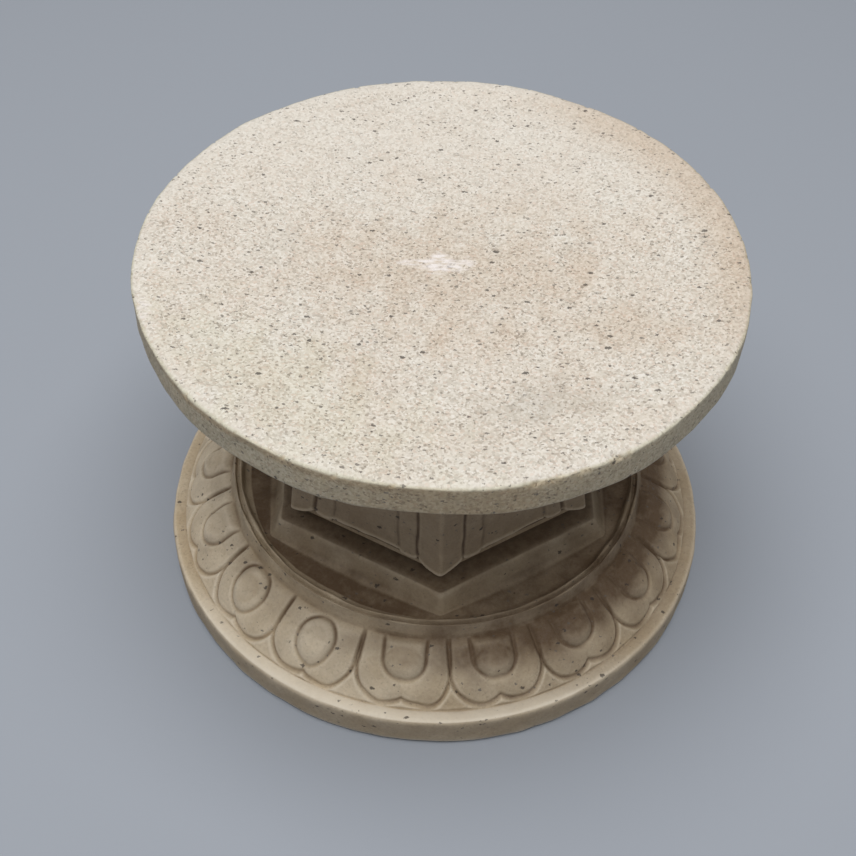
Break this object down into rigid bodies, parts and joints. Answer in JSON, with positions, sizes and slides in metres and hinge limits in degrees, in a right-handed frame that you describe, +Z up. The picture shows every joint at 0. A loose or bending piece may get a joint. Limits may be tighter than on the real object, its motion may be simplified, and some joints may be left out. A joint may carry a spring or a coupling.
{
  "type": "carved stone pedestal with dished top",
  "caption": "Round granite pedestal: a shallow dished top on a six-sided waist and a base carved with a ring of lotus petals.",
  "frame": {"origin": "middle of the flat underside, on the floor", "axes": "+Z up along the pedestal's own axis; -Y is the front, where one corner of the waist points, turned a little towards +X"},
  "size_m": [0.163, 0.163, 0.109],
  "materials": {
    "base_granite": "fine bush-hammered, handled smooth",
    "waist_granite": "tooled, grime in the cut lines",
    "upper_granite": "worn, open grain",
    "lime_mortar": "rough, struck back",
    "lime_plug": "smeared, chalky",
    "dowel_steel": "drawn round bar"
  },
  "bodies": {
    "root": {"base_stone": "base_granite", "lower_bed": "lime_mortar", "lower_dowel": "dowel_steel", "waist_stone": "waist_granite", "upper_bed": "lime_mortar", "upper_dowel": "dowel_steel", "upper_stone": "upper_granite", "centre_plug": "lime_plug"}
  },
  "joints": []
}
